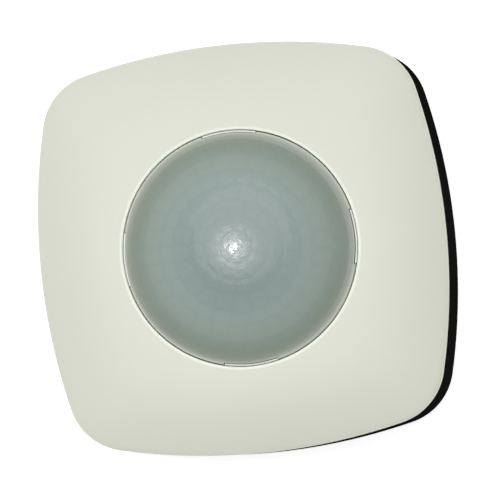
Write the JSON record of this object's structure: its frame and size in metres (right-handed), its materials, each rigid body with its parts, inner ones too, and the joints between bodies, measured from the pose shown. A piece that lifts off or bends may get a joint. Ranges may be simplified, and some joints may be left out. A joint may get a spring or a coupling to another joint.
{
  "type": "motion sensor",
  "caption": "Ceiling motion sensor with a domed rounded-square cover, a round translucent Fresnel lens and a black surface-mounting housing with its boards and settings inside.",
  "frame": {"origin": "centre of the rear face, the face that lies against the ceiling", "axes": "+Z from the rear face out through the lens, +X and +Y through the middles of the sides, +Y at the side with the board link"},
  "size_m": [0.12, 0.12, 0.046],
  "materials": {
    "ivory_plastic": "satin moulded plastic",
    "white_plastic": "satin moulded plastic",
    "black_plastic": "fine-textured moulded plastic",
    "lens_plastic": "milky translucent polyethylene, smooth outside",
    "black_rubber": "soft matt rubber",
    "circuit_board": "solder mask on glass-fibre board",
    "orange_plastic": "satin moulded plastic",
    "blue_plastic": "smooth moulded or dipped plastic",
    "yellow_plastic": "winding tape",
    "clear_plastic": "clear moulded plastic",
    "dark_glass": "infrared filter window",
    "tinned_metal": "plain can",
    "steel": "zinc-plated screw"
  },
  "bodies": {
    "base": {"rear_housing": "black_plastic", "cable_grommet": "black_rubber", "power_board": "circuit_board", "power_board_screw_1": "steel", "power_board_screw_2": "steel", "power_board_screw_3": "steel", "power_board_screw_4": "steel", "terminal_block": "white_plastic", "relay": "black_plastic", "transformer": "yellow_plastic", "mains_capacitor": "blue_plastic", "smoothing_capacitor": "tinned_metal", "fuse": "black_plastic", "varistor": "blue_plastic", "link_header": "black_plastic"},
    "sensor_head": {"sensor_carrier": "black_plastic", "carrier_screw_1": "steel", "carrier_screw_2": "steel", "carrier_screw_3": "steel", "carrier_screw_4": "steel", "sensor_board": "circuit_board", "sensor_board_screw_1": "steel", "sensor_board_screw_2": "steel", "link_socket": "black_plastic", "pyro_sensor_1": "tinned_metal", "pyro_sensor_2": "tinned_metal", "pyro_sensor_3": "tinned_metal", "pyro_sensor_4": "tinned_metal", "pyro_window_1": "dark_glass", "pyro_window_2": "dark_glass", "pyro_window_3": "dark_glass", "pyro_window_4": "dark_glass", "status_led": "clear_plastic", "light_sensor": "dark_glass", "light_guide": "clear_plastic", "control_chip": "black_plastic", "time_trimmer": "blue_plastic", "light_trimmer": "blue_plastic", "range_trimmer": "blue_plastic", "dip_switch": "blue_plastic", "button_switch": "black_plastic", "lens_ring": "white_plastic"},
    "front_cover": {"front_cover": "ivory_plastic"},
    "lens": {"lens": "lens_plastic"},
    "time_dial": {"time_dial": "white_plastic"},
    "light_dial": {"light_dial": "white_plastic"},
    "range_dial": {"range_dial": "white_plastic"},
    "dip_slider_1": {"dip_slider_1": "white_plastic"},
    "dip_slider_2": {"dip_slider_2": "white_plastic"},
    "dip_slider_3": {"dip_slider_3": "white_plastic"},
    "dip_slider_4": {"dip_slider_4": "white_plastic"},
    "programming_button": {"programming_button": "orange_plastic"},
    "terminal_release_button_1": {"terminal_release_button_1": "orange_plastic"},
    "terminal_release_button_2": {"terminal_release_button_2": "orange_plastic"},
    "terminal_release_button_3": {"terminal_release_button_3": "orange_plastic"},
    "terminal_release_button_4": {"terminal_release_button_4": "orange_plastic"}
  },
  "joints": [
    {"name": "sensor_head_lift", "type": "slide", "parent": "base", "child": "sensor_head", "axis": [0, 0, 1], "range_m": [0, 0.04]},
    {"name": "front_cover_lift", "type": "slide", "parent": "sensor_head", "child": "front_cover", "axis": [0, 0, 1], "range_m": [0, 0.04]},
    {"name": "lens_lift", "type": "slide", "parent": "sensor_head", "child": "lens", "axis": [0, 0, 1], "range_m": [0, 0.03]},
    {"name": "time_dial_turn", "type": "hinge", "parent": "sensor_head", "child": "time_dial", "pos_m": [-0.046, 0.013, 0.0215], "axis": [0, 0, 1], "range_deg": [-135, 135]},
    {"name": "light_dial_turn", "type": "hinge", "parent": "sensor_head", "child": "light_dial", "pos_m": [-0.046, 0, 0.0215], "axis": [0, 0, 1], "range_deg": [-135, 135]},
    {"name": "range_dial_turn", "type": "hinge", "parent": "sensor_head", "child": "range_dial", "pos_m": [-0.046, -0.013, 0.0215], "axis": [0, 0, 1], "range_deg": [-135, 135]},
    {"name": "dip_slider_1_slide", "type": "slide", "parent": "sensor_head", "child": "dip_slider_1", "axis": [1, 0, 0], "range_m": [0, 0.002]},
    {"name": "dip_slider_2_slide", "type": "slide", "parent": "sensor_head", "child": "dip_slider_2", "axis": [1, 0, 0], "range_m": [0, 0.002]},
    {"name": "dip_slider_3_slide", "type": "slide", "parent": "sensor_head", "child": "dip_slider_3", "axis": [1, 0, 0], "range_m": [0, 0.002]},
    {"name": "dip_slider_4_slide", "type": "slide", "parent": "sensor_head", "child": "dip_slider_4", "axis": [1, 0, 0], "range_m": [0, 0.002]},
    {"name": "programming_button_press", "type": "slide", "parent": "sensor_head", "child": "programming_button", "axis": [0, 0, -1], "range_m": [0, 0.0005], "stiffness_N_per_m": 1500},
    {"name": "terminal_release_button_1_press", "type": "slide", "parent": "base", "child": "terminal_release_button_1", "axis": [0, 0, -1], "range_m": [0, 0.0012], "stiffness_N_per_m": 2500},
    {"name": "terminal_release_button_2_press", "type": "slide", "parent": "base", "child": "terminal_release_button_2", "axis": [0, 0, -1], "range_m": [0, 0.0012], "stiffness_N_per_m": 2500},
    {"name": "terminal_release_button_3_press", "type": "slide", "parent": "base", "child": "terminal_release_button_3", "axis": [0, 0, -1], "range_m": [0, 0.0012], "stiffness_N_per_m": 2500},
    {"name": "terminal_release_button_4_press", "type": "slide", "parent": "base", "child": "terminal_release_button_4", "axis": [0, 0, -1], "range_m": [0, 0.0012], "stiffness_N_per_m": 2500}
  ]
}
